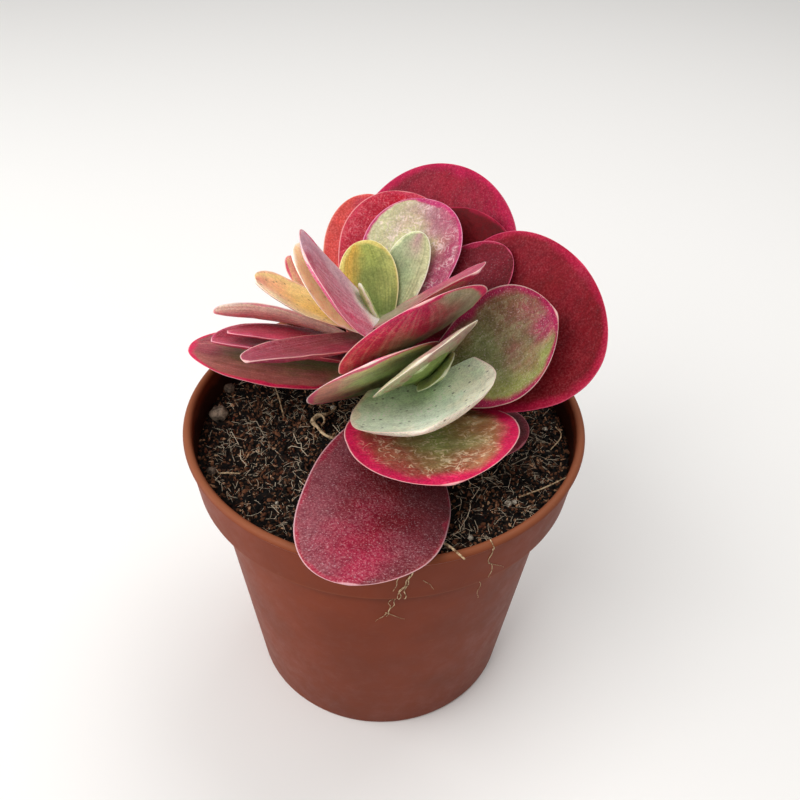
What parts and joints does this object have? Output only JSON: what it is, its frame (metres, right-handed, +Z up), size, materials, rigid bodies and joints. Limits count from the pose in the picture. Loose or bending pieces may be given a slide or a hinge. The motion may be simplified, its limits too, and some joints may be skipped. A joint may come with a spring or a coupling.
{
  "type": "potted paddle plant",
  "caption": "Paddle plant with broad fleshy red, pink and green leaves in two heads, rooted in dark peat in a round reddish-brown plastic nursery pot.",
  "frame": {"origin": "on the pot's axis, in the plane of the foot ring and centre pad that the pot stands on", "axes": "+Z up along the pot's axis; -Y towards the open front of the plant, where the lowest leaf hangs over the rim; +X to the right seen from the front"},
  "size_m": [0.1217, 0.1434, 0.1597],
  "materials": {
    "pot_plastic": "matt reddish-brown moulded plastic with faint scuffs and dust",
    "peat": "loose dark peat with fibres",
    "stem_skin": "smooth green stem",
    "leaf_crimson": "crimson red, powdery bloom",
    "leaf_burgundy": "dark burgundy red, powdery bloom",
    "leaf_magenta": "magenta pink, powdery bloom",
    "leaf_pale": "pale mint and cream, pink edge",
    "leaf_yellow": "pale yellow and cream, powdery bloom",
    "leaf_green": "olive green with pink edge, powdery bloom"
  },
  "bodies": {
    "root": {"pot": "pot_plastic", "soil": "peat", "back_stem": "stem_skin", "front_stem": "stem_skin", "rear_leaf_1": "leaf_crimson", "rear_leaf_2": "leaf_burgundy", "rear_leaf_3": "leaf_crimson", "rear_leaf_4": "leaf_crimson", "rear_leaf_5": "leaf_magenta", "rear_leaf_6": "leaf_pale", "rear_leaf_7": "leaf_yellow", "left_leaf_1": "leaf_burgundy", "left_leaf_2": "leaf_crimson", "left_leaf_3": "leaf_burgundy", "left_leaf_4": "leaf_magenta", "left_leaf_5": "leaf_magenta", "left_leaf_6": "leaf_crimson", "left_leaf_7": "leaf_yellow", "left_leaf_8": "leaf_yellow", "left_leaf_9": "leaf_magenta", "left_leaf_10": "leaf_yellow", "right_leaf_1": "leaf_green", "right_leaf_2": "leaf_magenta", "right_leaf_3": "leaf_magenta", "right_leaf_4": "leaf_burgundy", "front_leaf_1": "leaf_burgundy", "front_leaf_2": "leaf_burgundy", "front_leaf_3": "leaf_crimson", "front_leaf_4": "leaf_green", "front_leaf_5": "leaf_green", "front_leaf_6": "leaf_pale", "front_leaf_7": "leaf_green", "front_leaf_8": "leaf_green", "front_leaf_9": "leaf_pale"}
  },
  "joints": []
}
